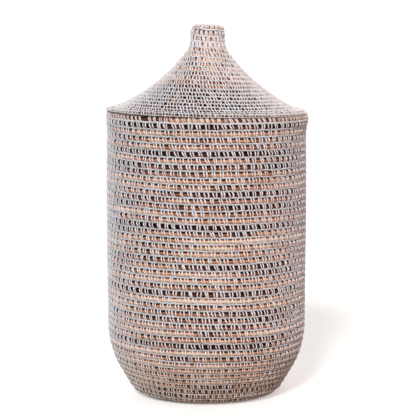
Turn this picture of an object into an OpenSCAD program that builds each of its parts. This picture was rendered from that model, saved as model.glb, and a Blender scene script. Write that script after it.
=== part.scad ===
// Coiled laundry hamper with a conical lid.
// A grass bundle is coiled round and round, and a flat white strip lashes each coil
// to the one below it. Here every coil is one closed ring, stacked along the wall's
// outline. Z is up, the origin is the centre of the base's underside.

/* [Basket] */
// Outside diameter of the straight wall
body_d = 400; // [380:5:420]
// Height of the rim's top above the floor
rim_h = 568; // [520:4:600]
// Radius of the bend between the base and the lower wall
foot_bend_r = 44; // [36:1:50]
// Slope of the lower wall above the floor
foot_slope = 59; // [52:1:66]
// Length of the lower wall's straight stretch
foot_run = 39; // [25:1:50]
// Radius of the bend between the lower wall and the upright wall
belly_bend_r = 173; // [150:1:190]

/* [Coils] */
// Outside radius of a lashed coil of the basket
coil_r = 6.75; // [6.5:0.05:7]
// Outside radius of a lashed coil of the lid
lid_coil_r = 6.4; // [6.2:0.05:6.6]
// Outside radius of the lashed rim coil and of the lid's brim coil
edge_coil_r = 5; // [4.6:0.1:5.4]
// Thickness of the strip round a grass bundle
strip_t = 1.5; // [1:0.1:2]
// Radius of the knot that a spiral of grass starts from
knot_r = 5.6; // [5:0.2:6]

/* [Lid] */
// Height of the lid above the rim
lid_h = 176; // [170:1:190]
// Radius of the lid's hollow curve, measured to the centres of its coils
cone_curve_r = 343; // [335:1:350]
// Outside diameter of the knob
knob_d = 69; // [68:1:72]
// How far the knob's lowest coil flares out towards the cone
knob_flare = 2.6; // [2:0.2:3]

/* [Locating ring] */
// Outside radius of a lashed coil of the ring under the lid
ring_coil_r = 5.6; // [5:0.1:5.8]
// Gap between the ring and the wall, so that the lid drops in loosely
ring_gap = 5; // [4.6:0.1:6]
// Number of coils in the locating ring
ring_coils = 2; // [1:1:3]

/* [Fit] */
// Gap between the lid and the basket, where the lid rests on the rim
lid_gap = 0.3; // [0.2:0.05:0.5]
// Gap between solids of one body that touch
touch_gap = 0.05; // [0.02:0.01:0.1]

/* [Hidden] */
$fn = 48;

grass = "saddlebrown";
pale_grass = "peru";
strip = "whitesmoke";

// How far neighbouring coils press into each other where they are lashed
nest = 0.35;
// How far the rim coil sits back from the wall's outside face
rim_inset = 0.5;

// ---- Outline of the basket: the line through the centres of its coils ----
wall_r = body_d / 2 - coil_r;
foot_r = foot_bend_r - coil_r;
belly_r = belly_bend_r - coil_r;
base_r = wall_r - foot_r * sin(foot_slope) - foot_run * cos(foot_slope)
    - belly_r * (1 - sin(foot_slope));
wall_z = coil_r + foot_r * (1 - cos(foot_slope)) + foot_run * sin(foot_slope)
    + belly_r * cos(foot_slope);

// Distances along the outline, from the base's centre, at which its stretches end
s_base = base_r;
s_foot = s_base + foot_r * foot_slope * PI / 180;
s_run = s_foot + foot_run;
s_belly = s_run + belly_r * (90 - foot_slope) * PI / 180;

// Points of the outline, as [radius, height]
function on_foot(a) = [base_r + foot_r * sin(a), coil_r + foot_r * (1 - cos(a))];
function on_run(d) = on_foot(foot_slope) + d * [cos(foot_slope), sin(foot_slope)];
function on_belly(a) = [wall_r - belly_r * (1 - sin(a)), wall_z - belly_r * cos(a)];
function outline(s) =
    s <= s_base ? [s, coil_r]
    : s <= s_foot ? on_foot((s - s_base) / foot_r * 180 / PI)
    : s <= s_run ? on_run(s - s_foot)
    : s <= s_belly ? on_belly(foot_slope + (s - s_run) / belly_r * 180 / PI)
    : [wall_r, wall_z + s - s_belly];

// The rim coil nests on the wall's top coil
rim_points = [[body_d / 2 - edge_coil_r - rim_inset, rim_h - edge_coil_r]];
top_coil_z = rim_points[0][1] - edge_coil_r - coil_r + nest;
s_top = s_belly + top_coil_z - wall_z;

// Coils from the base's centre to the wall's top, without the rim coil
body_coils = round((s_top - knot_r) / (2 * (coil_r - nest)) + 0.5);
pitch = (s_top - knot_r) / (body_coils - 0.5);
body_points = [for (k = [0 : body_coils - 1]) outline(knot_r + pitch * (k + 0.5))];
base_last = floor((s_base - knot_r) / pitch - 0.5);
lower_last = floor((s_belly - knot_r) / pitch - 0.5);
base_points = [for (k = [0 : base_last]) body_points[k]];
lower_points = [for (k = [base_last + 1 : lower_last]) body_points[k]];
wall_points = [for (k = [lower_last + 1 : body_coils - 1]) body_points[k]];

// ---- Outline of the lid ----
top_z = rim_h + lid_h - lid_coil_r;
brim_points = [[body_d / 2 - edge_coil_r, rim_h + lid_gap + edge_coil_r]];

// The cone's lowest coil nests on the brim coil, a little below it
brim_slope = 16;
brim_step = edge_coil_r + lid_coil_r - nest;
cone_low = brim_points[0] - brim_step * [cos(brim_slope), sin(brim_slope)];

// The hollow curve runs from cone_low up to the knob, about a centre outside the lid
knob_side_r = knob_d / 2 - lid_coil_r;
neck_step = 4.7;
cone_low_a = 22.6;
cone_centre = cone_low + cone_curve_r * [sin(cone_low_a), cos(cone_low_a)];
neck_r = knob_side_r + knob_flare + neck_step;
cone_high_a = asin((cone_centre[0] - neck_r) / cone_curve_r);
cone_len = cone_curve_r * (cone_high_a - cone_low_a) * PI / 180;
cone_gaps = round(cone_len / (2 * (lid_coil_r - nest)));
cone_step = (cone_high_a - cone_low_a) / cone_gaps;
function on_cone(a) = cone_centre - cone_curve_r * [sin(a), cos(a)];
cone_points = [for (k = [0 : cone_gaps]) on_cone(cone_low_a + k * cone_step)];
cone_top = cone_points[cone_gaps];

// The knob has two flat coils on top and upright coils in its side
lid_pitch = cone_len / cone_gaps;
top_r = knot_r + lid_pitch / 2;
knob_gaps = ceil((top_z - cone_top[1]) / (2 * (lid_coil_r - nest)));
knob_step = (top_z - cone_top[1]) / knob_gaps;
function flare(k) = knob_flare * pow(k / (knob_gaps - 1), 3);
knob_points = concat(
    [[top_r, top_z], [top_r + lid_pitch, top_z]],
    [for (k = [1 : knob_gaps - 1]) [knob_side_r + flare(k), top_z - k * knob_step]]
);

// ---- Locating ring: it nests under the cone's lowest coil ----
ring_r = body_d / 2 - 2 * coil_r - ring_gap - ring_coil_r;
ring_nest = lid_coil_r + ring_coil_r - nest;
ring_top_z = cone_low[1] - sqrt(pow(ring_nest, 2) - pow(cone_low[0] - ring_r, 2));
ring_pitch = 2 * (ring_coil_r - nest);
ring_points = [for (k = [0 : ring_coils - 1]) [ring_r, ring_top_z - k * ring_pitch]];

// ---- Shared shapes ----

// Last point of a list
function last(points) = points[len(points) - 1];

// Round sections at the given points
module sections(points, r) {
    for (p = points)
        translate(p)
            circle(r);
}

// Grass bundles, each one closed ring
module grass_rings(points, r) {
    for (p = points)
        rotate_extrude()
            translate(p)
                circle(r - strip_t - touch_gap);
}

// The knot that a spiral of grass starts from
module start_knot(z) {
    translate([0, 0, z])
        sphere(knot_r - strip_t - touch_gap);
}

// The strip round a run of coils, hollow where the grass is. It is cut back to touch
// the sections at beside, which belong to neighbouring runs. Child shapes fill the
// run's middle, round a start knot at height knot_z.
module lashing(points, r, beside = [], beside_r = 0, knot_z = 0) {
    rotate_extrude()
        difference() {
            union() {
                sections(points, r);
                children();
            }
            sections(points, r - strip_t);
            sections(beside, beside_r + touch_gap);
            if (knot_z > 0)
                sections([[0, knot_z]], knot_r - strip_t);
        }
}

// ---- Basket ----

module base_start_knot() {
    color(grass)
        start_knot(coil_r);
}

module base_coils() {
    color(grass)
        grass_rings(base_points, coil_r);
}

// The base's lashing, flat underneath where it stands on the floor
module base_lashing() {
    color(strip)
        lashing(base_points, coil_r, knot_z = coil_r) {
            square([last(base_points)[0], coil_r]);
            square([base_points[0][0], 2 * coil_r - strip_t]);
        }
}

module lower_wall_coils() {
    color(grass)
        grass_rings(lower_points, coil_r);
}

module lower_wall_lashing() {
    color(strip)
        lashing(lower_points, coil_r, [last(base_points)], coil_r);
}

module wall_coils() {
    color(pale_grass)
        grass_rings(wall_points, coil_r);
}

module wall_lashing() {
    color(strip)
        lashing(wall_points, coil_r, [last(lower_points)], coil_r);
}

module rim_coil() {
    color(pale_grass)
        grass_rings(rim_points, edge_coil_r);
}

module rim_lashing() {
    color(strip)
        lashing(rim_points, edge_coil_r, [last(wall_points)], coil_r);
}

// ---- Lid ----

module lid_start_knot() {
    color(grass)
        start_knot(top_z);
}

module knob_coils() {
    color(grass)
        grass_rings(knob_points, lid_coil_r);
}

// The knob's lashing, closed over the lid's start knot
module knob_lashing() {
    color(strip)
        lashing(knob_points, lid_coil_r, [cone_top], lid_coil_r, top_z)
            translate([0, top_z - lid_coil_r + strip_t / 2])
                square([top_r, 2 * lid_coil_r - strip_t]);
}

module cone_coils() {
    color(grass)
        grass_rings(cone_points, lid_coil_r);
}

module cone_lashing() {
    color(strip)
        lashing(cone_points, lid_coil_r);
}

module brim_coil() {
    color(pale_grass)
        grass_rings(brim_points, edge_coil_r);
}

module brim_lashing() {
    color(strip)
        lashing(brim_points, edge_coil_r, [cone_low], lid_coil_r);
}

module locating_ring_coils() {
    color(pale_grass)
        grass_rings(ring_points, ring_coil_r);
}

module locating_ring_lashing() {
    color(strip)
        lashing(ring_points, ring_coil_r, [cone_points[0], cone_points[1]], lid_coil_r);
}

base_start_knot();
base_coils();
base_lashing();
lower_wall_coils();
lower_wall_lashing();
wall_coils();
wall_lashing();
rim_coil();
rim_lashing();
lid_start_knot();
knob_coils();
knob_lashing();
cone_coils();
cone_lashing();
brim_coil();
brim_lashing();
locating_ring_coils();
locating_ring_lashing();
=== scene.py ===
"""A coiled grass hamper with a conical lid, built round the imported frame.

A bundle of grass winds in a spiral along an outline, and a flat white strip lashes each
turn to the turn below it. Every turn of the bundle carries pairs of upright strands on
both faces, and short bars of strip lie end to end in each joint between two turns.
Lengths are millimetres until a mesh is made. A place on a bundle is given in turns:
whole numbers are at the front, -Y.
"""
import math

import bpy
import numpy as np
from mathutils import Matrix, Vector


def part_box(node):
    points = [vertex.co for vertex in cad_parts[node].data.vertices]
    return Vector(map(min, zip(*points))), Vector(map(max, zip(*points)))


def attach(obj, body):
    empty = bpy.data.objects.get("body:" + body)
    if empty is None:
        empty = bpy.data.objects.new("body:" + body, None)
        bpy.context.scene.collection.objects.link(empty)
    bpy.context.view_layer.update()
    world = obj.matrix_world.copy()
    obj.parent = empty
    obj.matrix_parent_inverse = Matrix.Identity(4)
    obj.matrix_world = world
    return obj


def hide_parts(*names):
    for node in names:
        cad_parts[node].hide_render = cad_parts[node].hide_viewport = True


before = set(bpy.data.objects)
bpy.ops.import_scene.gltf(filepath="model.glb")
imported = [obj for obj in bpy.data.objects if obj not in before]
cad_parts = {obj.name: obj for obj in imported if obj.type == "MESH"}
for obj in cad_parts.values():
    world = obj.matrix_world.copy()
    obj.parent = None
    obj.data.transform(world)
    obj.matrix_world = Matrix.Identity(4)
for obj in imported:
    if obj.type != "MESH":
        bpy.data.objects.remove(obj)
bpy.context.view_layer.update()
rng = np.random.default_rng(11)

MM = 0.001


# ---- Sizes --------------------------------------------------------------------------

def high_corner(node):
    """Highest corner of a CAD node's box, in millimetres."""
    return np.array(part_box(node)[1]) / MM


WALL_FACE_R = high_corner("wall_lashing")[0]
RIM_Z = high_corner("rim_lashing")[2]
TOP_Z = high_corner("knob_lashing")[2]
RING_FACE_R, _, RING_TOP_Z = high_corner("locating_ring_lashing")

# Outside radii of the lashed turns, as in the CAD
BODY_COIL_R = 6.75
LID_COIL_R = 6.4
EDGE_COIL_R = 5.0       # the rim coil and the brim
RING_COIL_R = 5.6       # the locating ring

STRAND_SHARE = 0.79     # radius that the strands lie on, as a share of half the pitch
GRASS_SHARE = 0.75      # radius of the grass bundle, which sinks inside the strands
KNOT_R = 5.6            # radius of the knot that a spiral starts from
TAIL_HALF = 0.9         # half the thickness that a bundle tapers to at its end
TAIL_LASHED = 0.02      # the lashing stops this far, in turns, before the end
START = -0.35           # place where a spiral's grass begins, inside its knot
START_LASHED = -0.2
LEAST_TURN_R = 3.0      # turns near the axis are stepped along as if they were this large
LEAST_STITCH_R = 4.0    # and stitched as if they were this large
SEED_RANGE = 50         # range of the random offset that each tube's noise has

# The basket's outline: flat base, foot bend, sloping run, belly bend, upright wall
FOOT_R = 44.0 - BODY_COIL_R
FOOT_SLOPE = 59.0
FOOT_RUN = 39.0
BELLY_R = 173.0 - BODY_COIL_R
WALL_R = WALL_FACE_R - BODY_COIL_R
WALL_RUN = 500          # longer than any wall, so that the outline never ends too soon
COIL_NEST = 0.35        # how far neighbouring turns press into each other
slope = math.radians(FOOT_SLOPE)
BASE_R = (WALL_R - FOOT_R * math.sin(slope) - FOOT_RUN * math.cos(slope)
          - BELLY_R * (1 - math.sin(slope)))
WALL_FOOT_Z = (BODY_COIL_R + FOOT_R * (1 - math.cos(slope)) + FOOT_RUN * math.sin(slope)
               + BELLY_R * math.cos(slope))
BODY_TURNS = 54         # turns from the base's centre up to the rim coil, which is the next
RIM_COIL_Z = RIM_Z - EDGE_COIL_R
WALL_TOP_COIL_Z = RIM_COIL_Z - EDGE_COIL_R - BODY_COIL_R + COIL_NEST


# ---- Outlines and bundles -----------------------------------------------------------

class Outline:
    """A line of straight and round stretches, as radius and height.

    Each stretch is (length, turn in degrees). outside is +1 where the outside is on the
    left of the way along, and -1 where it is on the right.
    """

    def __init__(self, start, heading, stretches, outside):
        self.outside = outside
        ends = [0.0]
        places = [np.array(start, float)]
        headings = [math.radians(heading)]
        bends = []
        for length, turn in stretches:
            bend = math.radians(turn) / length
            bends.append(bend)
            h = headings[-1]
            if turn:
                far = h + math.radians(turn)
                sines = [math.sin(far) - math.sin(h), math.cos(h) - math.cos(far)]
                step = np.array(sines) / bend
            else:
                step = length * np.array([math.cos(h), math.sin(h)])
            ends.append(ends[-1] + length)
            places.append(places[-1] + step)
            headings.append(h + math.radians(turn))
        self.begins = np.array(ends[:-1])
        self.places = np.array(places[:-1])
        self.headings = np.array(headings[:-1])
        self.bends = np.array(bends)

    def at(self, s):
        """Place, direction and outside normal at the distances s, each (..., 2)."""
        i = np.clip(np.searchsorted(self.begins, s, side="right") - 1, 0, len(self.bends) - 1)
        d = s - self.begins[i]
        h0, bend = self.headings[i], self.bends[i]
        h = h0 + bend * d
        is_round = np.abs(bend) > 1e-9
        k = np.where(is_round, bend, 1.0)
        round_r = (np.sin(h) - np.sin(h0)) / k
        round_z = (np.cos(h0) - np.cos(h)) / k
        r = self.places[i, 0] + np.where(is_round, round_r, d * np.cos(h0))
        z = self.places[i, 1] + np.where(is_round, round_z, d * np.sin(h0))
        along = np.stack([np.cos(h), np.sin(h)], -1)
        out = self.outside * np.stack([-np.sin(h), np.cos(h)], -1)
        return np.stack([r, z], -1), along, out


def arc(radius, turn):
    """A round stretch of that radius."""
    return radius * math.radians(abs(turn)), turn


class Wander:
    """Smooth seeded noise along a line, between -size and size."""

    def __init__(self, low, high, step, size):
        self.x = np.arange(low - 2 * step, high + 3 * step, step)
        self.y = rng.uniform(-1, 1, len(self.x))
        self.size = size

    def __call__(self, x):
        step = self.x[1] - self.x[0]
        i = np.clip(((x - self.x[0]) / step).astype(int), 0, len(self.x) - 2)
        f = np.clip((x - self.x[i]) / step, 0, 1)
        f = f * f * (3 - 2 * f)
        return self.size * (self.y[i] * (1 - f) + self.y[i + 1] * f)


class Bundle:
    """A round bundle that winds along an outline.

    first is the outline distance of turn 0, pitch the distance from turn to turn, and
    sense +1 where it winds anticlockwise seen from above. full is half the thickness of a
    whole turn, and half a function that gives half the thickness at a place. shape moves
    finished points, for tilt and unevenness. end is the place where the bundle ends, and
    flat gives its depth as a share of a round bundle's.
    """

    def __init__(self, outline, first, pitch, sense, shape, full, half, end, flat):
        self.outline = outline
        self.first = first
        self.pitch = pitch
        self.sense = sense
        self.shape = shape
        self.full = full
        self.half = half
        self.end = end
        self.flat = flat

    def low_edge(self, t):
        return self.first + self.pitch * t - self.full

    def centre(self, t):
        return self.low_edge(t) + self.half(t)

    def radius(self, t):
        """Distance from the axis to the bundle's centre."""
        return self.outline.at(self.centre(t))[0][..., 0]

    def place(self, s, t, out_by, along_by=0.0):
        """3-D points, outside normals and ups, out_by off the outline at s and turn t."""
        p, along, out = self.outline.at(s)
        p = p + out * np.asarray(out_by)[..., None] + along * np.asarray(along_by)[..., None]
        phi = -math.pi / 2 + self.sense * 2 * math.pi * t
        c, n = np.cos(phi), np.sin(phi)
        points = np.stack([p[..., 0] * c, p[..., 0] * n, p[..., 1]], -1)
        normals = np.stack([out[..., 0] * c, out[..., 0] * n, out[..., 1]], -1)
        ups = np.stack([along[..., 0] * c, along[..., 0] * n, along[..., 1]], -1)
        return self.shape(points), normals, ups

    def around(self, t, a, radius):
        """Points on the bundle's own skin: a is the angle from outside towards along."""
        t, a, radius = np.broadcast_arrays(t, a, radius)
        depth = radius * self.flat(t) * np.cos(a)
        points, out, up = self.place(self.centre(t), t, depth, radius * np.sin(a))
        normals = out * np.cos(a)[..., None] + up * np.sin(a)[..., None]
        return points, normals

    def turns(self, low, high, step):
        """Places from low to high, about step millimetres apart."""
        out = [low]
        while out[-1] < high:
            r = max(float(self.radius(np.array(out[-1]))), LEAST_TURN_R)
            out.append(out[-1] + step / (2 * math.pi * r))
        out[-1] = high
        return np.array(out)


def all_round(t):
    """The depth of a bundle that isn't pressed flat anywhere."""
    return np.ones(np.shape(t))


# ---- Meshes -------------------------------------------------------------------------

class Piece:
    """Collects tubes and makes them one mesh object."""

    def __init__(self):
        self.parts = []
        self.count = 0

    def tubes(self, paths, normals, wide, thick, sides, tone, rib=1.0):
        """Flattened tubes. paths and normals are (tubes, points, 3), in millimetres.

        wide and thick are half sizes across the normal and along it, tone a shade from
        0 to 1, and rib a factor on the section for each point and side.
        """
        shape = paths.shape[:2]
        wide = np.broadcast_to(wide, shape)[..., None]
        thick = np.broadcast_to(thick, shape)[..., None]
        tone = np.asarray(tone)
        tone = np.broadcast_to(tone if tone.ndim == 3 else tone[..., None], (*shape, sides))
        way = np.gradient(paths, axis=1)
        run = np.cumsum(np.linalg.norm(way, axis=2), axis=1)
        way /= np.linalg.norm(way, axis=2, keepdims=True)
        side = np.cross(normals, way)
        side /= np.linalg.norm(side, axis=2, keepdims=True)
        up = np.cross(way, side)
        a = np.arange(sides) * 2 * math.pi / sides
        x = (wide * np.cos(a) * rib)[..., None]
        y = (thick * np.sin(a) * rib)[..., None]
        rings = paths[:, :, None] + side[:, :, None] * x + up[:, :, None] * y
        tubes, points = shape
        index = np.arange(tubes * points * sides).reshape(tubes, points, sides) + self.count
        right = np.roll(index, -1, axis=2)
        quads = np.stack([index[:, :-1], right[:, :-1], right[:, 1:], index[:, 1:]], -1)
        caps = np.concatenate([index[:, 0, ::-1], index[:, -1]])
        full = (tubes, points, sides)
        grain = np.stack([
            np.broadcast_to(np.cos(a), full),
            np.broadcast_to(np.sin(a), full),
            np.broadcast_to(run[..., None], full),
        ], -1)
        seed = np.broadcast_to(rng.uniform(0, SEED_RANGE, tubes)[:, None, None], full)
        self.parts.append((
            rings.reshape(-1, 3), quads.reshape(-1, 4), caps,
            tone.ravel(), grain.reshape(-1, 3), seed.ravel(),
        ))
        self.count += tubes * points * sides

    def make(self, name, body, slot, node):
        """The finished object, riding on its body and standing for its CAD node."""
        verts, quads, caps, tone, grain, seed = zip(*self.parts)
        verts = np.concatenate(verts)
        faces = [f for pair in zip(quads, caps) for f in pair]
        corners = np.concatenate([f.ravel() for f in faces])
        sizes = np.concatenate([np.full(len(f), f.shape[1]) for f in faces])
        mesh = bpy.data.meshes.new(name)
        mesh.vertices.add(len(verts))
        mesh.vertices.foreach_set("co", (verts * MM).astype(np.float32).ravel())
        mesh.loops.add(len(corners))
        mesh.loops.foreach_set("vertex_index", corners.astype(np.int32))
        mesh.polygons.add(len(sizes))
        starts = np.concatenate([[0], np.cumsum(sizes)[:-1]])
        mesh.polygons.foreach_set("loop_start", starts.astype(np.int32))
        mesh.polygons.foreach_set("use_smooth", np.ones(len(sizes), bool))
        mesh.update(calc_edges=True)
        for label, kind, field, values in (
            ("tone", "FLOAT", "value", tone),
            ("seed", "FLOAT", "value", seed),
            ("grain", "FLOAT_VECTOR", "vector", grain),
        ):
            layer = mesh.attributes.new(label, kind, "POINT")
            values = np.concatenate(values).astype(np.float32)
            layer.data.foreach_set(field, values.ravel())
        mesh.materials.append(MATERIALS[slot])
        obj = bpy.data.objects.new(name, mesh)
        bpy.context.scene.collection.objects.link(obj)
        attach(obj, body)
        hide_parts(node)


# ---- Materials ----------------------------------------------------------------------

class Nodes:
    """Short calls for building a node tree."""

    def __init__(self, name):
        self.material = bpy.data.materials.new(name)
        self.material.use_nodes = True
        self.tree = self.material.node_tree
        self.shader = self.tree.nodes["Principled BSDF"]

    def link(self, value, socket):
        """Links a node's output to the socket, or sets a plain number on it."""
        if isinstance(value, bpy.types.NodeSocket):
            self.tree.links.new(value, socket)
        else:
            socket.default_value = value

    def attribute(self, name, output):
        node = self.tree.nodes.new("ShaderNodeAttribute")
        node.attribute_name = name
        return node.outputs[output]

    def math(self, operation, *values):
        node = self.tree.nodes.new("ShaderNodeMath")
        node.operation = operation
        for value, socket in zip(values, node.inputs):
            self.link(value, socket)
        return node.outputs[0]

    def vary(self, shade, noise, size):
        """The shade, made lighter and darker by the noise by up to half of size."""
        return self.math("MULTIPLY_ADD", self.math("SUBTRACT", noise, 0.5), size, shade)

    def noise(self, grain, seed, around, along, detail):
        """Noise on a tube's own coordinates, so that it runs along the strand."""
        node = self.tree.nodes.new("ShaderNodeMapping")
        self.link(grain, node.inputs["Vector"])
        node.inputs["Scale"].default_value = (around, around, along)
        noise = self.tree.nodes.new("ShaderNodeTexNoise")
        noise.noise_dimensions = "4D"
        self.link(node.outputs[0], noise.inputs["Vector"])
        self.link(seed, noise.inputs["W"])
        noise.inputs["Scale"].default_value = 1.0
        noise.inputs["Detail"].default_value = detail
        return noise.outputs["Fac"]

    def ramp(self, value, stops):
        node = self.tree.nodes.new("ShaderNodeValToRGB")
        ends = node.color_ramp.elements
        for place, _ in stops[1:-1]:
            ends.new(place)
        for element, (place, color) in zip(ends, stops):
            element.position = place
            element.color = (*color, 1)
        self.link(value, node.inputs[0])
        return node.outputs[0]

    def bump(self, height, distance, strength):
        node = self.tree.nodes.new("ShaderNodeBump")
        node.inputs["Strength"].default_value = strength
        node.inputs["Distance"].default_value = distance
        self.link(height, node.inputs["Height"])
        self.link(node.outputs[0], self.shader.inputs["Normal"])

    def gloss(self, roughness, specular):
        self.shader.inputs["Roughness"].default_value = roughness
        self.shader.inputs["Specular IOR Level"].default_value = specular


def grass_material():
    """Split grass stalks: near-black, brown, orange-brown, tan and straw, streaked along."""
    n = Nodes("grass_bundle")
    grain, seed = n.attribute("grain", "Vector"), n.attribute("seed", "Fac")
    stalks = n.noise(grain, seed, around=2.6, along=0.035, detail=2.0)
    patches = n.noise(grain, seed, around=0.5, along=0.05, detail=1.0)
    shade = n.vary(n.attribute("tone", "Fac"), stalks, 0.75)
    shade = n.vary(shade, patches, 0.45)
    color = n.ramp(shade, [
        (0.00, (0.010, 0.003, 0.003)),
        (0.22, (0.045, 0.013, 0.009)),
        (0.42, (0.205, 0.062, 0.028)),
        (0.60, (0.510, 0.215, 0.098)),
        (0.78, (0.720, 0.410, 0.240)),
        (1.00, (0.860, 0.640, 0.470)),
    ])
    n.link(color, n.shader.inputs["Base Color"])
    n.gloss(roughness=0.6, specular=0.06)
    n.bump(stalks, distance=0.0007, strength=0.8)
    return n.material


def strip_material():
    """Whitish strip: cool white to beige by its tone, which holds both random stains and
    painted shade, with faint fibres.
    """
    n = Nodes("white_strip")
    grain, seed = n.attribute("grain", "Vector"), n.attribute("seed", "Fac")
    fibres = n.noise(grain, seed, around=2.2, along=0.06, detail=2.0)
    stains = n.noise(grain, seed, around=0.4, along=0.12, detail=1.0)
    shade = n.vary(n.attribute("tone", "Fac"), fibres, 0.30)
    shade = n.vary(shade, stains, 0.35)
    color = n.ramp(shade, [
        (0.00, (0.320, 0.215, 0.170)),
        (0.35, (0.600, 0.475, 0.405)),
        (0.60, (0.730, 0.645, 0.615)),
        (0.80, (0.790, 0.755, 0.770)),
        (1.00, (0.890, 0.880, 0.920)),
    ])
    n.link(color, n.shader.inputs["Base Color"])
    n.gloss(roughness=0.5, specular=0.2)
    n.bump(fibres, distance=0.0003, strength=0.6)
    return n.material


MATERIALS = {"grass": grass_material(), "strip": strip_material()}


# ---- Lashed bundles -----------------------------------------------------------------

# Angles on a turn, in degrees from outside towards the way up the outline, between which
# its strands lie, with the points along a strand and the sides of its section
OUTER_WRAP = (-64, 64, 7, 6)
INNER_WRAP = (118, 242, 5, 4)
EDGE_WRAP = (-64, 244, 15, 6)       # over a free edge, from one face to the other
WHOLE_WRAP = (-180, 180, 11, 5)

# The grass
GRASS_SIDES = 14
STALKS = 6              # ribs round the bundle
STALK_TWIST = 9         # and how far they wind, in radians for each turn
STALK_RIB = 0.045       # and how high they stand, as a share of the bundle's radius
GRASS_ROUGH = 0.012     # random roughness, as a share of the radius
PAINTED_SHADE_FROM = 0.25     # height on the section, from -1 to 1, where the painted shade begins
PAINTED_SHADE_FADE = 0.45     # and over how much of the section it deepens

# The strands, from their middle to their ends
STRAND_LIFT = 0.72      # how far the middle stands off the skin, as a share of thick
STRAND_TUCK = 0.35      # how far the ends sink
STRAND_TAPER = 0.12     # how much narrower the ends are
STRAND_LEAST = 0.7      # least half width
STRAND_LEAN_JITTER = 0.25
STRAND_SHADE = 0.1      # how much paler the middle is than the strip's own shade
STRAND_END_PAINTED_SHADE = 0.2  # painted shade: how much darker the sunk ends are than the middle
STRAND_SHADE_JITTER = 0.10

# The bars, from their middle to their ends
BAR_REACH = 1.3         # length, as a share of a pair's length
BAR_OUT = 0.5           # how far the middle stands out
BAR_DIP = 2.2           # how far the ends sink below the middle, in times that
BAR_TAPER = 0.35        # how much smaller the ends are
BAR_OUT_JITTER = 0.18
BAR_ALONG_JITTER = 0.25
BAR_SIZE_JITTER = 0.10
BAR_PAINTED_SHADE = 0.08        # painted shade in the joint: how much darker the middle is than the strip's own shade
BAR_END_PAINTED_SHADE = 0.14    # and painted shade: how much darker than the middle the sunk ends are
BAR_SHADE_JITTER = 0.11
OUTER_BAR = (5, 6)      # points along a bar and sides of its section
INNER_BAR = (4, 4)
EDGE_LIFT = 1.2         # how far the bars on a free edge stand off the strands' line
EDGE_BAR_THICK = 0.8
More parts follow.
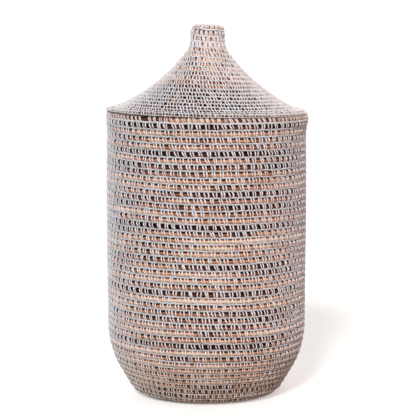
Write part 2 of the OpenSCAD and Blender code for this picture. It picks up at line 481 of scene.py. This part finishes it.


# A look says how the strip lies. Sizes are millimetres, and widths are half widths:
#   period                   length of a pair of stitches that the other sizes are meant for
#   jitter                   how far a pair strays along the turn
#   lean, lean_jitter        how far the ends of a strand lean to either side
#   bow                      how far the middle of a strand strays
#   spacing, spacing_jitter  how far each strand of a pair is from the pair's middle
#   wide, wide_jitter, thick   the strand's section
#   band, band_thick         the section of the bars in the joints
#   band_out                 how far out the bars lie, as a share of half the pitch
#   slant                    how far the ends of a bar lean across the joint
#   sink                     how far back along the outline the grass lies in its turn
#   painted_crevice_shade    painted shade: grass coloured darker at its top, where it lies in shade
#   bare                     the place of a pair that is missing
class Lashed:
    """A bundle with its strip: the grass, the strand pairs and the bars in the joints."""

    def __init__(self, bundle, period, tone, strip_tone, look):
        self.bundle = bundle
        self.period = period            # function: turn, radius -> length of a pair
        self.tone = tone                # function: turn -> shade of the grass
        self.strip_tone = strip_tone    # function: turn -> shade of the strip
        self.look = look

    def changed(self, **look):
        """The same lashed bundle with some of its look changed."""
        return Lashed(self.bundle, self.period, self.tone, self.strip_tone, self.look | look)

    def reach(self, t):
        """Radius of the turns at t, never so small that a strand would go round it."""
        return np.maximum(self.bundle.radius(t), LEAST_STITCH_R)

    def periods(self, t, r):
        return np.array([self.period(x, y) for x, y in zip(t, r)])

    def pairs(self, low, high):
        """Places of the strand pairs from low to high."""
        out = []
        t = low
        while t < high:
            out.append(t)
            r = float(self.reach(np.array(t)))
            t += self.period(t, r) / (2 * math.pi * r)
        out = np.array(out)
        if "bare" in self.look:
            out = np.delete(out, np.argmin(np.abs(out - self.look["bare"])))
        return out

    def grass(self, piece, low, high, step):
        """The bundle of stalks. It hangs a little low, with painted shade at its top, in the
        crevice.
        """
        b = self.bundle
        t = b.turns(low, high, step)
        down = -self.look["sink"] * b.half(t) / b.full
        p, out, _ = b.place(b.centre(t), t, np.zeros_like(t), down)
        size = b.half(t) * GRASS_SHARE
        a = np.arange(GRASS_SIDES) * 2 * math.pi / GRASS_SIDES
        stalks = STALK_RIB * np.cos(STALKS * a[None] + STALK_TWIST * t[:, None])
        rib = 1 + stalks + rng.normal(0, GRASS_ROUGH, (len(t), GRASS_SIDES))
        # Painted shade: the grass is coloured darker towards its top, where the joint above
        # shades it
        rise = -np.cos(a) if b.outline.outside < 0 else np.cos(a)
        painted_crevice_shade = self.look["painted_crevice_shade"] * np.clip((rise - PAINTED_SHADE_FROM) / PAINTED_SHADE_FADE, 0, 1)
        shade = self.tone(t)[:, None] - painted_crevice_shade
        thick = size * b.flat(t)
        piece.tubes(p[None], out[None], size[None], thick[None], GRASS_SIDES, shade[None],
                    rib[None])

    def strands(self, piece, t, wrap, spread, lean, wide):
        """One strand per place in t, over the bundle's skin between the angles of wrap.

        spread and lean are sideways offsets, in millimetres along the bundle: spread is
        the strand's place in its pair, and lean how far it slants.
        """
        b, k, thick = self.bundle, len(t), self.look["thick"]
        low_a, high_a, points, sides = wrap
        a = np.radians(np.linspace(low_a, high_a, points))[None, :]
        v = np.sin(a)
        # The two strands of a pair are furthest apart near the middle, and close at the ends
        swell = 1.0 + 0.10 * v - 0.19 * v * v
        sideways = spread[:, None] * swell - lean[:, None] * v
        bow = rng.normal(0, self.look["bow"], k)[:, None] * np.cos(a) ** 2
        tt = t[:, None] + b.sense * (sideways + bow) / (2 * math.pi * self.reach(t)[:, None])
        share = b.half(tt) / b.full
        skin = b.half(tt) * STRAND_SHARE + (thick * STRAND_LIFT - STRAND_TUCK * v ** 6) * share
        p, normals = b.around(tt, np.broadcast_to(a, tt.shape), skin)
        taper = (1 - STRAND_TAPER * v ** 4) * np.sqrt(share)
        shade = self.strip_tone(t)[:, None] + rng.normal(0, STRAND_SHADE_JITTER, k)[:, None]
        # Painted shade: the ends, which sink into the joints, are coloured darker
        shade = shade + STRAND_SHADE - STRAND_END_PAINTED_SHADE * v ** 4
        piece.tubes(p, normals, wide[:, None] * taper, thick * np.sqrt(share), sides, shade)

    def pair_strands(self, piece, t, wrap):
        """Two strands for each place in t. Where pairs are close, everything is smaller."""
        look, k = self.look, len(t)
        r = self.reach(t)
        fit = np.minimum(1.0, self.periods(t, r) / look["period"])
        t = t + rng.normal(0, look["jitter"], k) * fit / (2 * math.pi * r)
        lean = rng.normal(look["lean"], look["lean_jitter"], k) * fit
        gap = rng.normal(look["spacing"], look["spacing_jitter"], k)
        gap = np.maximum(gap, look["wide"]) * fit
        for sign in (-1, 1):
            wide = rng.normal(look["wide"], look["wide_jitter"], k)
            wide = np.maximum(wide, STRAND_LEAST) * np.sqrt(fit)
            own_lean = lean + rng.normal(0, STRAND_LEAN_JITTER, k)
            self.strands(piece, t, wrap, sign * gap, own_lean, wide)

    def bars(self, piece, t, place, thick, detail):
        """Short overlapping bars of strip laid end to end along the bundle, like a twist.

        place(t, along, tuck) gives points and normals, along up the outline and tuck out
        of the surface, in millimetres. detail is a bar's points and sides.
        """
        b, k, look = self.bundle, len(t), self.look
        points, sides = detail
        r = self.reach(t)
        u = np.linspace(-1, 1, points)[None, :]
        reach = 0.5 * BAR_REACH * self.periods(t, r)[:, None]
        tt = t[:, None] + b.sense * u * reach / (2 * math.pi * r[:, None])
        tt = np.minimum(tt, b.end)
        share = b.half(tt) / b.full
        tuck = BAR_OUT * (1 - BAR_DIP * u * u) + rng.normal(0, BAR_OUT_JITTER, k)[:, None]
        along = -look["slant"] * u + rng.normal(0, BAR_ALONG_JITTER, k)[:, None]
        p, normals = place(tt, along * share, tuck)
        size = share * (1 + rng.normal(0, BAR_SIZE_JITTER, k)[:, None])
        size = size * (1 - BAR_TAPER * u ** 4)
        shade = self.strip_tone(t)[:, None] + rng.normal(0, BAR_SHADE_JITTER, k)[:, None]
        # Painted shade: bars are coloured darker than the strands, most at their sunk ends
        shade = shade - BAR_PAINTED_SHADE - BAR_END_PAINTED_SHADE * u * u
        piece.tubes(p, normals, look["band"] * size, thick * size, sides, shade)

    def joint(self, piece, t, face):
        """The strip that is wound along the joint above each place in t, on one face."""
        b, look = self.bundle, self.look

        def place(tt, along, tuck):
            s = b.low_edge(tt) + 2 * b.half(tt) + along
            return b.place(s, tt, face * (b.full * look["band_out"] * b.flat(tt) + tuck))[:2]

        self.bars(piece, t, place, look["band_thick"], OUTER_BAR if face > 0 else INNER_BAR)

    def lashing(self, piece, low, high):
        """Both faces of the turns from low to high, and the bars in the joints above."""
        t = self.pairs(low, high)
        self.pair_strands(piece, t, OUTER_WRAP)
        self.pair_strands(piece, t, INNER_WRAP)
        self.joint(piece, t, 1)
        self.joint(piece, t, -1)

    def edge_band(self, piece, low, high, angle):
        """Bars of strip sewn round the free edge itself, on top of the strands."""
        b = self.bundle

        def place(tt, along, tuck):
            size = b.half(tt) * STRAND_SHARE + (EDGE_LIFT + tuck) * b.half(tt) / b.full
            return b.around(tt, math.radians(angle) - along / size, size)

        self.bars(piece, self.pairs(low, high), place, EDGE_BAR_THICK, OUTER_BAR)

    def edge(self, piece, low, high):
        """Strand pairs over the free edge of the turns from low to high."""
        self.pair_strands(piece, self.pairs(low, high), EDGE_WRAP)


def grass_piece(name, body_name, node, lashed, low, high, step=8.0):
    """The bundle from low to high, with a ring of points every step millimetres."""
    piece = Piece()
    lashed.grass(piece, low, high, step)
    piece.make(name, body_name, "grass", node)


def strip_piece(name, body_name, node, lashed, low, high):
    """The lashing of the turns from low to high."""
    piece = Piece()
    lashed.lashing(piece, low, high)
    piece.make(name, body_name, "strip", node)


def strip_pieces(name, body_name, node, lashed, edges):
    """A numbered piece of lashing for each stretch between two of the edges."""
    for k, (low, high) in enumerate(zip(edges[:-1], edges[1:]), start=1):
        strip_piece(f"{name}_{k}", body_name, node, lashed, low, high)


# ---- The basket ---------------------------------------------------------------------

# Slow waves in the basket's radius, lumps, and in the height of its turns, rolls. A wave
# that goes k times round changes with height the slower, the larger TALL + TALLER * k is.
LUMP_R = 0.45
LUMP_TALL = 60
LUMP_TALLER = 17
ROLL_Z = 0.4
ROLL_TALL = 25
ROLL_TALLER = 9
ROLL_BELOW_RIM = 12     # rolls set in this far below the rim, and are full FADE lower
ROLL_FADE = 60
LUMP_FROM_Z = 20        # all unevenness sets in at this height, and is full FADE higher
LUMP_FADE = 120
LUMP_LEAST_R = 20       # keeps the change small close to the axis
WAVES = [(rng.uniform(0, 2 * math.pi), rng.uniform(0, 2 * math.pi)) for _ in range(4)]

BELLY_OUT = 1.2         # a slight belly in the wall
BELLY_Z = 390
BELLY_REACH = 170
FLARE_OUT = 3.2         # the flare under the rim, which is larger towards +X
FLARE_ASIDE = 1.8
FLARE_Z = 558
FLARE_REACH = 17


def hand_made(points):
    """Slight lumps, a small belly in the wall and a flared top, as the real wall has."""
    phi = np.arctan2(points[..., 1], points[..., 0])
    z = points[..., 2]
    r = np.hypot(points[..., 0], points[..., 1])
    lumps = np.zeros_like(z)
    roll = np.zeros_like(z)
    for k, (p, q) in enumerate(WAVES, start=2):
        lump_tall = LUMP_TALL + LUMP_TALLER * k
        roll_tall = ROLL_TALL + ROLL_TALLER * k
        lumps += LUMP_R * np.sin(k * phi + p) * np.sin(z / lump_tall + q)
        roll += ROLL_Z * np.sin(k * phi + q + z / roll_tall)
    wall = np.clip((z - LUMP_FROM_Z) / LUMP_FADE, 0, 1)
    belly = BELLY_OUT * np.exp(-((z - BELLY_Z) / BELLY_REACH) ** 2)
    flare = FLARE_OUT + FLARE_ASIDE * np.cos(phi)
    flare = flare * np.exp(-((z - FLARE_Z) / FLARE_REACH) ** 2)
    grow = 1 + wall * (lumps + belly + flare) / np.maximum(r, LUMP_LEAST_R)
    below_rim = np.clip((RIM_Z - ROLL_BELOW_RIM - z) / ROLL_FADE, 0, 1) * wall
    return np.stack([points[..., 0] * grow, points[..., 1] * grow, z + below_rim * roll], -1)


body_outline = Outline(
    (0, BODY_COIL_R), 0,
    [(BASE_R, 0), arc(FOOT_R, FOOT_SLOPE), (FOOT_RUN, 0), arc(BELLY_R, 90 - FOOT_SLOPE),
     (WALL_RUN, 0)],
    outside=-1,
)
wall_start = body_outline.begins[-1]
body_reach = wall_start + WALL_TOP_COIL_Z - WALL_FOOT_Z
body_pitch = (body_reach - KNOT_R) / (BODY_TURNS - 0.5)
BASE_END = math.ceil((BASE_R - KNOT_R) / body_pitch - 0.5) - 0.5
LOWER_END = math.ceil((wall_start - KNOT_R) / body_pitch - 0.5) - 0.5
RIM_START = BODY_TURNS - 0.5    # the rim coil is the turn with nothing on top of it
RIM_END = RIM_START + 1
RIM_HALF = EDGE_COIL_R + 0.5
RIM_PERIOD = 11.2
BARE_SPOT = BODY_TURNS + 0.10   # a wrap is missing here, and a lens of grass shows


def body_half(t):
    """Half the bundle's thickness: it thins into the rim coil, whose tail tapers away."""
    return np.interp(t, [RIM_START - 0.1, RIM_START + 0.2, RIM_END - 0.25, RIM_END],
                     [body_pitch / 2, RIM_HALF, RIM_HALF, TAIL_HALF])


body_bundle = Bundle(body_outline, KNOT_R + body_pitch / 2, body_pitch, -1, hand_made,
                     full=body_pitch / 2, half=body_half, end=RIM_END, flat=all_round)

# Turns counted down from the rim whose grass came from a dark or a pale batch
DARK_ROWS = (1, 5, 7, 11, 13, 16, 26, 30, 34)
PALE_ROWS = (8, 9, 18, 19, 27, 32, 35)
DARK_BATCH = -0.33
PALE_BATCH = 0.14
batch = np.zeros(BODY_TURNS + 2)
for row in DARK_ROWS:
    batch[BODY_TURNS - row] = DARK_BATCH
for row in PALE_ROWS:
    batch[BODY_TURNS - row] = PALE_BATCH

body_long_streaks = Wander(-1, BODY_TURNS + 1, 0.11, size=0.22)
body_short_streaks = Wander(-1, BODY_TURNS + 1, 0.035, size=0.16)
body_turn_drift = Wander(-1, BODY_TURNS + 1, 0.9, size=0.12)
body_strip_drift = Wander(-1, BODY_TURNS + 1, 0.3, size=0.08)


def body_grass_tone(t):
    """The shade that each turn's batch has, with lighter and darker streaks along it."""
    base = np.interp(t, [0, 18, 32, 38], [0.62, 0.70, 0.67, 0.60])
    rows = np.interp(t, np.arange(len(batch)), batch)
    return base + rows + body_turn_drift(t) + body_long_streaks(t) + body_short_streaks(t)


def body_strip_tone(t):
    """The strip is paler high up and darker and browner towards the floor: painted shade for
    the weaker light low on the wall.
    """
    base = np.interp(t, [0, 12, 20, 30, 44], [0.38, 0.47, 0.80, 0.93, 0.91])
    return base + body_strip_drift(t)


# Pairs of stitches in one turn, from the turn given upwards: they are closer lower down
STITCHES = ((0, 83.28), (18, 82.28), (24, 80.28), (30, 79.28), (36, 78.28))
BASE_PERIOD = 9.0


def body_period(t, r):
    """Length of one pair of stitches: even in the base, then a set number to each turn."""
    stitches = [count for first, count in STITCHES if first <= max(t, 0)][-1]
    return max(2 * math.pi * r / stitches, BASE_PERIOD)


body = Lashed(body_bundle, body_period, body_grass_tone, body_strip_tone, {
    "period": 2 * math.pi * WALL_R / STITCHES[-1][1], "jitter": 0.7,
    "lean": 1.25, "lean_jitter": 0.6, "bow": 0.45,
    "spacing": 2.8, "spacing_jitter": 0.35, "wide": 1.40, "wide_jitter": 0.22, "thick": 0.85,
    "band": 1.15, "band_thick": 1.45, "band_out": 0.63, "slant": 1.1,
    "sink": 0.8, "painted_crevice_shade": 0.6,
})
RIM_GRASS_PAINTED_SHADOW = 0.12     # painted shadow of the lid: the rim's strip is coloured darker than the wall's, and its grass too
RIM_STRIP_PAINTED_SHADOW = 0.34


def build_basket():
    grass_piece("base_grass", "basket", "base_coils", body, START, BASE_END)
    grass_piece("lower_wall_grass", "basket", "lower_wall_coils", body, BASE_END, LOWER_END)
    grass_piece("wall_grass", "basket", "wall_coils", body, LOWER_END, RIM_START)
    strip_piece("base_strip", "basket", "base_lashing", body, START_LASHED, BASE_END)
    lower = body.changed(wide=1.25, band=0.95, band_out=0.54)
    strip_pieces("lower_wall_strip", "basket", "lower_wall_lashing", lower,
                 np.linspace(BASE_END, LOWER_END, 3))
    strip_pieces("wall_strip", "basket", "wall_lashing", body,
                 np.linspace(LOWER_END, RIM_START - 1, 6))
    top = body.changed(band=2.0, slant=0.2)
    strip_piece("wall_strip_top", "basket", "wall_lashing", top, RIM_START - 1, RIM_START)

    rim_look = body.look | {"lean": 1.8, "lean_jitter": 0.9, "spacing": 1.5,
                            "spacing_jitter": 0.25, "wide": 1.5, "period": RIM_PERIOD,
                            "bare": BARE_SPOT, "painted_crevice_shade": 0.1}
    # The rim's grass and strip are coloured darker: painted shadow of the lid's brim
    rim = Lashed(body_bundle, lambda t, r: RIM_PERIOD,
                 lambda t: body_grass_tone(t) - RIM_GRASS_PAINTED_SHADOW,
                 lambda t: body_strip_tone(t) - RIM_STRIP_PAINTED_SHADOW, rim_look)
    grass_piece("rim_grass", "basket", "rim_coil", rim, RIM_START, RIM_END, step=5.0)
    piece = Piece()
    rim.edge(piece, RIM_START, RIM_END - TAIL_LASHED)
    piece.make("rim_strip", "basket", "strip", "rim_lashing")


# ---- The lid ------------------------------------------------------------------------

# The lid's outline: knob top, its corner, knob side, neck, hollow cone, brim
LID_TOP_COIL_Z = TOP_Z - LID_COIL_R
KNOB_R = 29.0
CORNER_R = 9.0
NECK_R = 39.7
CONE_R = 343.0
CONE_TOP_Z = 689.9
CONE_HIGH = 54.95       # angles from upright of the hollow curve's top and foot
CONE_FOOT = 24.6
BRIM_BEND_R = 20.0
BRIM_BEND = 16.6
BRIM_RUN = 16.4
BRIM_SPARE = 40         # the outline goes on past the brim, so that it never ends too soon
BRIM_FLAT = 0.57

LID_RISE = 0.9          # how much higher the brim's middle lies than in the CAD
LID_SQUAT = 0.0085      # and how much shorter the lid stands, as a share
LID_TILT = math.radians(0.92)
LID_LUMP_Z = 0.5        # unevenness of the lid, and how fast it changes with height
LID_LUMP_TALL = 31
LID_ROLL_Z = 0.4
LID_ROLL_TALL = 22


def tilted(points):
    """The lid rests on the spiral rim, so its left side sits a little higher."""
    x, z = points[..., 0], points[..., 2] - RIM_Z
    phi = np.arctan2(points[..., 1], x)
    lump = LID_LUMP_Z * np.sin(3 * phi + WAVES[0][0]) * np.sin(z / LID_LUMP_TALL)
    lump = lump + LID_ROLL_Z * np.sin(2 * phi + z / LID_ROLL_TALL)
    z = z * (1 - LID_SQUAT) + lump + LID_RISE
    c, s = math.cos(LID_TILT), math.sin(LID_TILT)
    return np.stack([x * c + z * s, points[..., 1], RIM_Z - x * s + z * c], -1)


knob_side = (LID_TOP_COIL_Z - CORNER_R - CONE_TOP_Z
             - NECK_R * math.sin(math.radians(90 - CONE_HIGH)))
lid_outline = Outline(
    (0, LID_TOP_COIL_Z), 0,
    [(KNOB_R - CORNER_R, 0), arc(CORNER_R, -90), (knob_side, 0), arc(NECK_R, 90 - CONE_HIGH),
     arc(CONE_R, CONE_HIGH - CONE_FOOT), arc(BRIM_BEND_R, BRIM_BEND),
     (BRIM_RUN + BRIM_SPARE, 0)],
    outside=1,
)
LID_TURNS = 22          # whole turns from the start to the brim at the front
lid_reach = lid_outline.begins[-1] + BRIM_RUN
lid_pitch = (lid_reach - KNOT_R) / (LID_TURNS + 0.5)
LID_EDGE = lid_reach + EDGE_COIL_R
LID_TAIL = 2.0          # the bundle ends where this much is left of the last turn
LID_END = LID_TURNS + (LID_EDGE - LID_TAIL - lid_reach + lid_pitch / 2) / lid_pitch
LID_FREE = LID_END - 1          # the last turn has nothing outside it
KNOB_END = 4.6
NECK_END = 11.5
CONE_OUTER = 17.5


def lid_half(t):
    """Half the bundle's thickness: the last turn fills what is left up to the brim's edge."""
    low = KNOT_R + lid_pitch * t
    return np.clip((LID_EDGE - low) / 2, TAIL_HALF, lid_pitch / 2)


def lid_flat(t):
    """The brim is pressed flat by its lashing, more than the turns inside it."""
    return np.interp(t, [LID_FREE - 0.4, LID_FREE + 0.1], [1.0, BRIM_FLAT])


lid_bundle = Bundle(lid_outline, KNOT_R + lid_pitch / 2, lid_pitch, 1, tilted,
                    full=lid_pitch / 2, half=lid_half, end=LID_END, flat=lid_flat)
lid_long_streaks = Wander(-1, LID_TURNS + 2, 0.12, size=0.20)
lid_short_streaks = Wander(-1, LID_TURNS + 2, 0.03, size=0.18)
lid_turn_drift = Wander(-1, LID_TURNS + 2, 1.0, size=0.08)


def lid_grass_tone(t):
    """Orange-brown grass in the knob and the neck, darker towards the brim."""
    base = np.interp(t, [0, 6, 12.6, 13.8, 23], [0.63, 0.57, 0.47, 0.07, 0.05])
    return base + lid_turn_drift(t) + lid_long_streaks(t) + lid_short_streaks(t)


STRIP_DRIFT = 0.3       # size of the drift in the strip's shade, beside the grass's


def lid_strip_tone(t):
    """Clean strip, whose shade drifts as that of the grass half a turn on does."""
    base = np.interp(t, [0, 6, 14, 22], [0.86, 0.84, 0.86, 0.86])
    return base + STRIP_DRIFT * lid_long_streaks(t + 0.5)


CONE_PERIOD = 10.3      # length of one pair of stitches at the axis
CONE_PERIOD_GAIN = 3.6  # and how much more it is at the brim's radius
BRIM_R = 195


def lid_period(t, r):
    """Length of one pair of stitches, which grows from the neck to the brim."""
    return CONE_PERIOD + CONE_PERIOD_GAIN * r / BRIM_R


lid = Lashed(lid_bundle, lid_period, lid_grass_tone, lid_strip_tone, {
    "period": 12.0, "jitter": 0.75, "lean": -1.5, "lean_jitter": 0.7, "bow": 0.4,
    "spacing": 3.0, "spacing_jitter": 0.35, "wide": 1.20, "wide_jitter": 0.20, "thick": 1.0,
    "band": 1.0, "band_thick": 1.2, "band_out": 0.52, "slant": -1.6,
    "sink": -0.5, "painted_crevice_shade": 0.35,
})
KNOB_PERIOD = 8.5
BRIM_PERIOD = 13.6
# Painted shade: the brim's strip is coloured a little darker, for the shade along the lid's
# lower edge
BRIM_STRIP_PAINTED_SHADE = 0.10
BRIM_BAND_ANGLE = 98    # where the brim's bars lie: round its edge, a little underneath


def build_lid():
    grass_piece("knob_grass", "lid", "knob_coils", lid, START, KNOB_END, step=5.0)
    grass_piece("cone_grass", "lid", "cone_coils", lid, KNOB_END, LID_FREE)
    grass_piece("brim_grass", "lid", "brim_coil", lid, LID_FREE, LID_END, step=6.0)

    knob_look = lid.look | {"lean": -0.8, "wide": 2.0, "spacing": 1.95, "spacing_jitter": 0.3,
                            "band": 2.1, "band_out": 0.6, "slant": -1.0}
    knob = Lashed(lid_bundle, lambda t, r: KNOB_PERIOD, lid_grass_tone, lid_strip_tone,
                  knob_look)
    strip_piece("knob_strip", "lid", "knob_lashing", knob, START_LASHED, KNOB_END)
    neck = lid.changed(wide=1.55, band=1.4, band_out=0.56)
    strip_piece("cone_strip_1", "lid", "cone_lashing", neck, KNOB_END, NECK_END)
    strip_piece("cone_strip_2", "lid", "cone_lashing", lid, NECK_END, CONE_OUTER)
    outer = lid.changed(wide=1.15, band=0.85, band_out=0.46)
    strip_piece("cone_strip_3", "lid", "cone_lashing", outer, CONE_OUTER, LID_FREE)

    brim_look = lid.look | {"period": BRIM_PERIOD, "wide": 1.3, "spacing": 3.4, "band": 0.9}
    brim = Lashed(lid_bundle, lambda t, r: BRIM_PERIOD, lid_grass_tone,
                  lambda t: lid_strip_tone(t) - BRIM_STRIP_PAINTED_SHADE, brim_look)
    piece = Piece()
    brim.edge(piece, LID_FREE, LID_END - TAIL_LASHED)
    brim.edge_band(piece, LID_FREE, LID_END - TAIL_LASHED, BRIM_BAND_ANGLE)
    piece.make("brim_strip", "lid", "strip", "brim_lashing")


# ---- The locating ring --------------------------------------------------------------

RING_TURNS = 2
RING_HALF = 5.25        # half the thickness of a turn
RING_RUN = 60           # longer than the ring is tall
RING_PERIOD = 12.5
RING_LAST = 0.995       # just short of a whole turn, so that no pair is there twice


def build_ring():
    """The locating ring: level turns sewn under the cone."""
    line = Outline((RING_FACE_R - RING_COIL_R, RING_TOP_Z), -90, [(RING_RUN, 0)], outside=1)
    look = lid.look | {"spacing": 2.4}
    grass, strip = Piece(), Piece()
    for k in range(RING_TURNS):
        turn = Bundle(line, RING_HALF * (1 + 2 * k), 0.0, 1, tilted, full=RING_HALF,
                      half=lambda t: np.full(np.shape(t), RING_HALF), end=RING_TURNS,
                      flat=all_round)
        ring = Lashed(turn, lambda t, r: RING_PERIOD, lid_grass_tone, lid_strip_tone, look)
        ring.grass(grass, 0.0, 1.0, step=8.0)
        ring.pair_strands(strip, ring.pairs(0.0, RING_LAST), WHOLE_WRAP)
    grass.make("locating_ring_grass", "lid", "grass", "locating_ring_coils")
    strip.make("locating_ring_strip", "lid", "strip", "locating_ring_lashing")


# ---- The start knots ----------------------------------------------------------------

CURL_TURNS = 1.35       # the curl of grass that a spiral starts with
CURL_START_R = 0.6
CURL_PITCH = 3.1
CURL_POINTS = 40
CURL_SIDES = 8
CURL_DEPTH = 1.35       # how much deeper the curl is than wide
ROSETTE = 11            # strands over each face of a knot
ROSETTE_START = 0.6
ROSETTE_REACH = 8.6
ROSETTE_HEIGHT = 4.7    # above the knot's middle, and how it falls with distance
ROSETTE_DROOP = 0.022
ROSETTE_WIDE = 1.0      # half width at the middle, and how it grows with distance
ROSETTE_WIDER = 0.16
ROSETTE_THICK = 0.85
ROSETTE_POINTS = 6
ROSETTE_SIDES = 6
ROSETTE_TONE = 0.7
ROSETTE_TURN_JITTER = 0.09
ROSETTE_TONE_JITTER = 0.1


def build_knot(name, body_name, z, shape, node, tone):
    """The tight curl of grass at a spiral's start, with strands over both its faces."""
    t = np.linspace(0, CURL_TURNS, CURL_POINTS)
    r = CURL_START_R + CURL_PITCH * t
    phi = 2 * math.pi * t
    path = shape(np.stack([r * np.cos(phi), r * np.sin(phi), np.full_like(r, z)], -1))[None]
    up = np.broadcast_to([0.0, 0.0, 1.0], path.shape)
    wide = np.interp(t, [0, 0.3, 1.2, CURL_TURNS], [2.6, 3.4, 3.4, 1.0])[None]
    piece = Piece()
    piece.tubes(path, up, wide, CURL_DEPTH * wide, CURL_SIDES, np.full((1, CURL_POINTS), tone))
    piece.make(name, body_name, "grass", node)

    turn = np.arange(ROSETTE)[:, None] * 2 * math.pi / ROSETTE
    turn = turn + rng.normal(0, ROSETTE_TURN_JITTER, ROSETTE)[:, None]
    far = np.linspace(ROSETTE_START, ROSETTE_REACH, ROSETTE_POINTS)[None, :]
    piece = Piece()
    for face in (-1, 1):
        height = z + face * (ROSETTE_HEIGHT - ROSETTE_DROOP * far ** 2)
        height = np.broadcast_to(height, (ROSETTE, ROSETTE_POINTS))
        paths = shape(np.stack([far * np.cos(turn), far * np.sin(turn), height], -1))
        ups = np.zeros_like(paths)
        ups[..., 2] = face
        tones = ROSETTE_TONE + rng.normal(0, ROSETTE_TONE_JITTER, (ROSETTE, 1))
        wide = ROSETTE_WIDE + ROSETTE_WIDER * far
        piece.tubes(paths, ups, wide, ROSETTE_THICK, ROSETTE_SIDES, tones)
    piece.make(name + "_strip", body_name, "strip", node)


# ---- Floor, light and camera --------------------------------------------------------

# Radius and height of the floor's rings, in metres
FLOOR_RINGS = ((0.5, 0.0), (14, 0.0), (20, 0.5), (27, 1.8), (34, 4.3), (40, 8.0))
FLOOR_SIDES = 96
FLOOR_COLOR = (0.93, 0.93, 0.93, 1)
FLOOR_GLOW = 0.4        # the floor glows a little, so that it comes out nearly white


def build_floor():
    """A wide flat floor that curves up far away, so that no view shows its edge.

    It doesn't throw light back, so that the basket's foot stays in shade.
    """
    mesh = bpy.data.meshes.new("floor")
    a = np.arange(FLOOR_SIDES) * 2 * math.pi / FLOOR_SIDES
    verts = [(r * math.cos(x), r * math.sin(x), z) for r, z in FLOOR_RINGS for x in a]
    faces = [tuple(range(FLOOR_SIDES))]
    for k in range(len(FLOOR_RINGS) - 1):
        low, high = k * FLOOR_SIDES, (k + 1) * FLOOR_SIDES
        for i in range(FLOOR_SIDES):
            j = (i + 1) % FLOOR_SIDES
            faces.append((low + i, high + i, high + j, low + j))
    mesh.from_pydata(verts, [], faces)
    mesh.shade_smooth()
    n = Nodes("pale_floor")
    n.shader.inputs["Base Color"].default_value = FLOOR_COLOR
    n.shader.inputs["Roughness"].default_value = 0.9
    n.shader.inputs["Emission Color"].default_value = (1, 1, 1, 1)
    n.shader.inputs["Emission Strength"].default_value = FLOOR_GLOW
    mesh.materials.append(n.material)
    floor = bpy.data.objects.new("floor", mesh)
    bpy.context.scene.collection.objects.link(floor)
    floor.visible_diffuse = False
    floor.visible_glossy = False


def sun(name, azimuth, height, power, softness, color):
    """Light from far away. azimuth is where it stands, in degrees from the front."""
    data = bpy.data.lights.new(name, "SUN")
    data.energy = power
    data.angle = math.radians(softness)
    data.color = color
    obj = bpy.data.objects.new(name, data)
    bpy.context.scene.collection.objects.link(obj)
    obj.rotation_euler = (math.radians(90 - height), 0, math.radians(azimuth))


WORLD_COLOR = (1.0, 0.98, 0.97, 1)
WORLD_BELOW = 0.26      # the room's brightness below and above
WORLD_ABOVE = 0.27
WORLD_LOW = -0.5        # upward part of the directions between which it changes
WORLD_HIGH = 0.6


def build_studio():
    """An even pale room, a key light from the front left, a warm fill and two back lights."""
    world = bpy.data.worlds.new("studio")
    world.use_nodes = True
    tree = world.node_tree
    place = tree.nodes.new("ShaderNodeTexCoord")
    split = tree.nodes.new("ShaderNodeSeparateXYZ")
    power = tree.nodes.new("ShaderNodeMapRange")
    power.inputs["From Min"].default_value = WORLD_LOW
    power.inputs["From Max"].default_value = WORLD_HIGH
    power.inputs["To Min"].default_value = WORLD_BELOW
    power.inputs["To Max"].default_value = WORLD_ABOVE
    background = tree.nodes["Background"]
    background.inputs["Color"].default_value = WORLD_COLOR
    tree.links.new(place.outputs["Generated"], split.inputs[0])
    tree.links.new(split.outputs["Z"], power.inputs["Value"])
    tree.links.new(power.outputs["Result"], background.inputs["Strength"])
    bpy.context.scene.world = world
    sun("key", azimuth=-12, height=30, power=2.60, softness=12, color=(1.0, 0.985, 0.975))
    sun("right_fill", azimuth=80, height=7, power=0.95, softness=60, color=(1.0, 0.50, 0.30))
    sun("back_left", azimuth=-164, height=6, power=1.6, softness=60, color=(0.97, 0.98, 1.0))
    sun("back_right", azimuth=164, height=6, power=1.5, softness=60, color=(1.0, 0.84, 0.72))


# Metres and degrees, from the photo's framing
CAMERA_DISTANCE = 3.66
CAMERA_HEIGHT = 0.789
CAMERA_ASIDE = 0.0034
CAMERA_DOWN = 6.45
LENS = 158.4
SENSOR = 36
CAMERA_SEES = 500


def build_camera():
    data = bpy.data.cameras.new("camera")
    data.lens = LENS
    data.sensor_width = SENSOR
    data.clip_end = CAMERA_SEES
    camera = bpy.data.objects.new("camera", data)
    bpy.context.scene.collection.objects.link(camera)
    camera.location = (CAMERA_ASIDE, -CAMERA_DISTANCE, CAMERA_HEIGHT)
    camera.rotation_euler = (math.radians(90 - CAMERA_DOWN), 0, 0)
    bpy.context.scene.camera = camera


build_basket()
build_lid()
build_ring()
build_knot("base_start", "basket", BODY_COIL_R, hand_made, "base_start_knot", tone=0.5)
build_knot("lid_start", "lid", LID_TOP_COIL_Z, tilted, "lid_start_knot", tone=0.55)
build_floor()
build_studio()
build_camera()
bpy.context.scene.view_settings.view_transform = "Standard"
